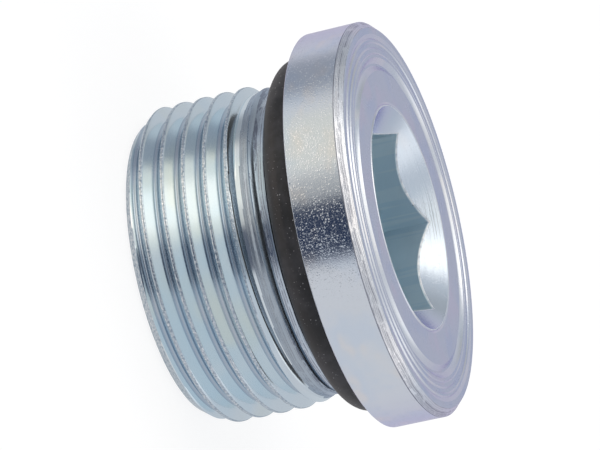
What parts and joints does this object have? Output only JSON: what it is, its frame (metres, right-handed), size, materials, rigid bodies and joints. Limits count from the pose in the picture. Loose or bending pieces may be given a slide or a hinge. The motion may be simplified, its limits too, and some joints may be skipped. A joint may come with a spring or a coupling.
{
  "type": "hex socket plug",
  "caption": "Flanged screw plug with a threaded stud, an O-ring in a neck under its head and a hexagon socket in its face, used to close and seal a threaded port.",
  "frame": {"origin": "centre of the flat free end of the stud, which the plug stands on", "axes": "+Z along the plug's axis and out through the head; +X through a corner of the hexagon socket; +Y square to two of its flats"},
  "size_m": [0.027, 0.027, 0.0164],
  "materials": {
    "steel": "bright zinc plated, turned face, blasted rim",
    "rubber": "matt black nitrile"
  },
  "bodies": {
    "root": {"plug_body": "steel", "o_ring": "rubber"}
  },
  "joints": []
}
